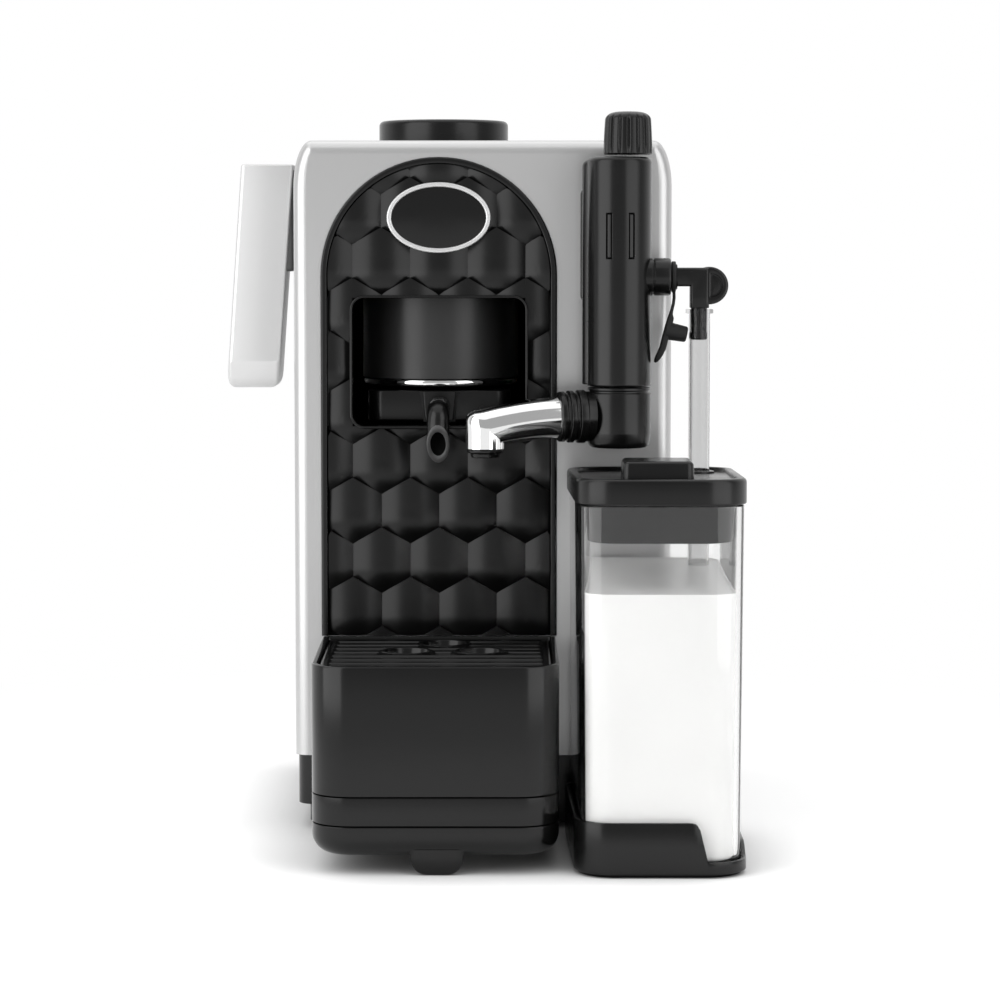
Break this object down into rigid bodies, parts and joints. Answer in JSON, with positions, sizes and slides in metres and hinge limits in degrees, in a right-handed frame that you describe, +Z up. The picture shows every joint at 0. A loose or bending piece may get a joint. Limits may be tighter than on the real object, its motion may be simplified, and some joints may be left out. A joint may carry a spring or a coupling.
{
  "type": "pod coffee machine",
  "caption": "Compact pod coffee machine with side lever, arched honeycomb front, drip tray, swivelling milk spout, frother and clear milk jug.",
  "frame": {"origin": "middle of the machine's footprint, on the counter", "axes": "+Z up, front faces -Y, +X to the right as seen from the front"},
  "size_m": [0.211, 0.28, 0.2983],
  "materials": {
    "satin_silver": "satin lacquered silver",
    "lever_silver": "satin lacquered silver",
    "black_plastic": "semi-gloss moulded black",
    "gloss_black": "polished black",
    "chrome": "polished chrome",
    "steel": "plain steel",
    "cast_alloy": "cast alloy",
    "brass": "drawn brass",
    "rubber": "matt rubber",
    "clear_plastic": "clear moulded plastic",
    "board_green": "coated circuit board"
  },
  "bodies": {
    "machine": {"base_chassis": "black_plastic", "rubber_feet": "rubber", "body_shell": "satin_silver", "rear_cover": "black_plastic", "case_screws": "steel", "panel_bezel": "black_plastic", "honeycomb_panel": "black_plastic", "window_frame": "black_plastic", "badge_rim": "satin_silver", "badge_plate": "gloss_black", "brew_frame": "steel", "guide_rods": "steel", "shaft_bushes": "brass", "pod_holder": "black_plastic", "pod_rim": "black_plastic", "coffee_spout": "black_plastic", "water_tank": "clear_plastic", "tank_cover": "clear_plastic", "pump": "steel", "pump_mounts": "rubber", "boiler": "cast_alloy", "control_board": "board_green", "pressure_pipe": "brass", "steam_pipe": "brass", "water_hose": "clear_plastic", "mains_inlet": "black_plastic", "frother_bracket": "black_plastic", "frother_barrel": "black_plastic", "frother_port": "black_plastic"},
    "lever": {"side_lever": "lever_silver", "lever_shaft": "steel", "drive_pinion": "steel"},
    "brew_group": {"brew_head": "gloss_black", "head_rack": "steel", "head_ring": "chrome", "head_gasket": "rubber", "shower_screen": "steel"},
    "drip_tray": {"tray_box": "black_plastic", "tray_band": "black_plastic", "tray_pan": "black_plastic"},
    "grille": {"drip_grille": "black_plastic"},
    "filler_lid": {"tank_lid": "black_plastic", "lid_seal": "rubber"},
    "foam_knob": {"frother_knob": "black_plastic"},
    "milk_spout": {"swivel_head": "black_plastic", "spout_collar": "black_plastic", "chrome_spout": "chrome", "outlet_ring": "black_plastic"},
    "milk_unit": {"jug_cradle": "black_plastic", "milk_jug": "clear_plastic", "jug_lid": "black_plastic", "milk_tube": "clear_plastic", "tube_elbow": "black_plastic"},
    "stopper": {"port_stopper": "rubber"},
    "coffee_key": {"brew_button": "black_plastic"},
    "steam_key": {"steam_button": "black_plastic"},
    "rocker": {"power_switch": "black_plastic"}
  },
  "joints": [
    {"name": "lever_swing", "type": "hinge", "parent": "machine", "child": "lever", "pos_m": [-0.07687, 0.00737, 0.2545], "axis": [-1, 0, 0], "range_deg": [0, 100]},
    {"name": "head_lift", "type": "slide", "parent": "machine", "child": "brew_group", "axis": [0, 0, 1], "range_m": [0, 0.0158]},
    {"name": "tray_pull", "type": "slide", "parent": "machine", "child": "drip_tray", "axis": [0, -1, 0], "range_m": [0, 0.11]},
    {"name": "grille_lift", "type": "slide", "parent": "drip_tray", "child": "grille", "axis": [0, 0, 1], "range_m": [0, 0.06]},
    {"name": "lid_lift", "type": "slide", "parent": "machine", "child": "filler_lid", "axis": [0, 0, 1], "range_m": [0, 0.05]},
    {"name": "knob_turn", "type": "hinge", "parent": "machine", "child": "foam_knob", "pos_m": [0.06132, -0.05463, 0.285], "axis": [0, 0, 1], "range_deg": [0, 270]},
    {"name": "spout_swivel", "type": "hinge", "parent": "machine", "child": "milk_spout", "pos_m": [0.05813, -0.05463, 0.1737], "axis": [0, 0, 1], "range_deg": [-10, 50]},
    {"name": "jug_pull", "type": "slide", "parent": "machine", "child": "milk_unit", "axis": [1, 0, 0], "range_m": [0, 0.08]},
    {"name": "stopper_swing", "type": "hinge", "parent": "machine", "child": "stopper", "pos_m": [0.07883, -0.05463, 0.2302], "axis": [1, 0, 0], "range_deg": [-80, 20]},
    {"name": "coffee_press", "type": "slide", "parent": "machine", "child": "coffee_key", "axis": [0, 0, -1], "range_m": [0, 0.002], "stiffness_N_per_m": 300, "springref_m": -0.002},
    {"name": "steam_press", "type": "slide", "parent": "machine", "child": "steam_key", "axis": [0, 0, -1], "range_m": [0, 0.002], "stiffness_N_per_m": 300, "springref_m": -0.002},
    {"name": "rocker_tilt", "type": "hinge", "parent": "machine", "child": "rocker", "pos_m": [-0.02738, 0.13587, 0.098], "axis": [1, 0, 0], "range_deg": [-12, 0]}
  ],
  "couplings": [
    {"joint": "head_lift", "follows": "lever_swing", "m_per_rad": 0.009}
  ]
}
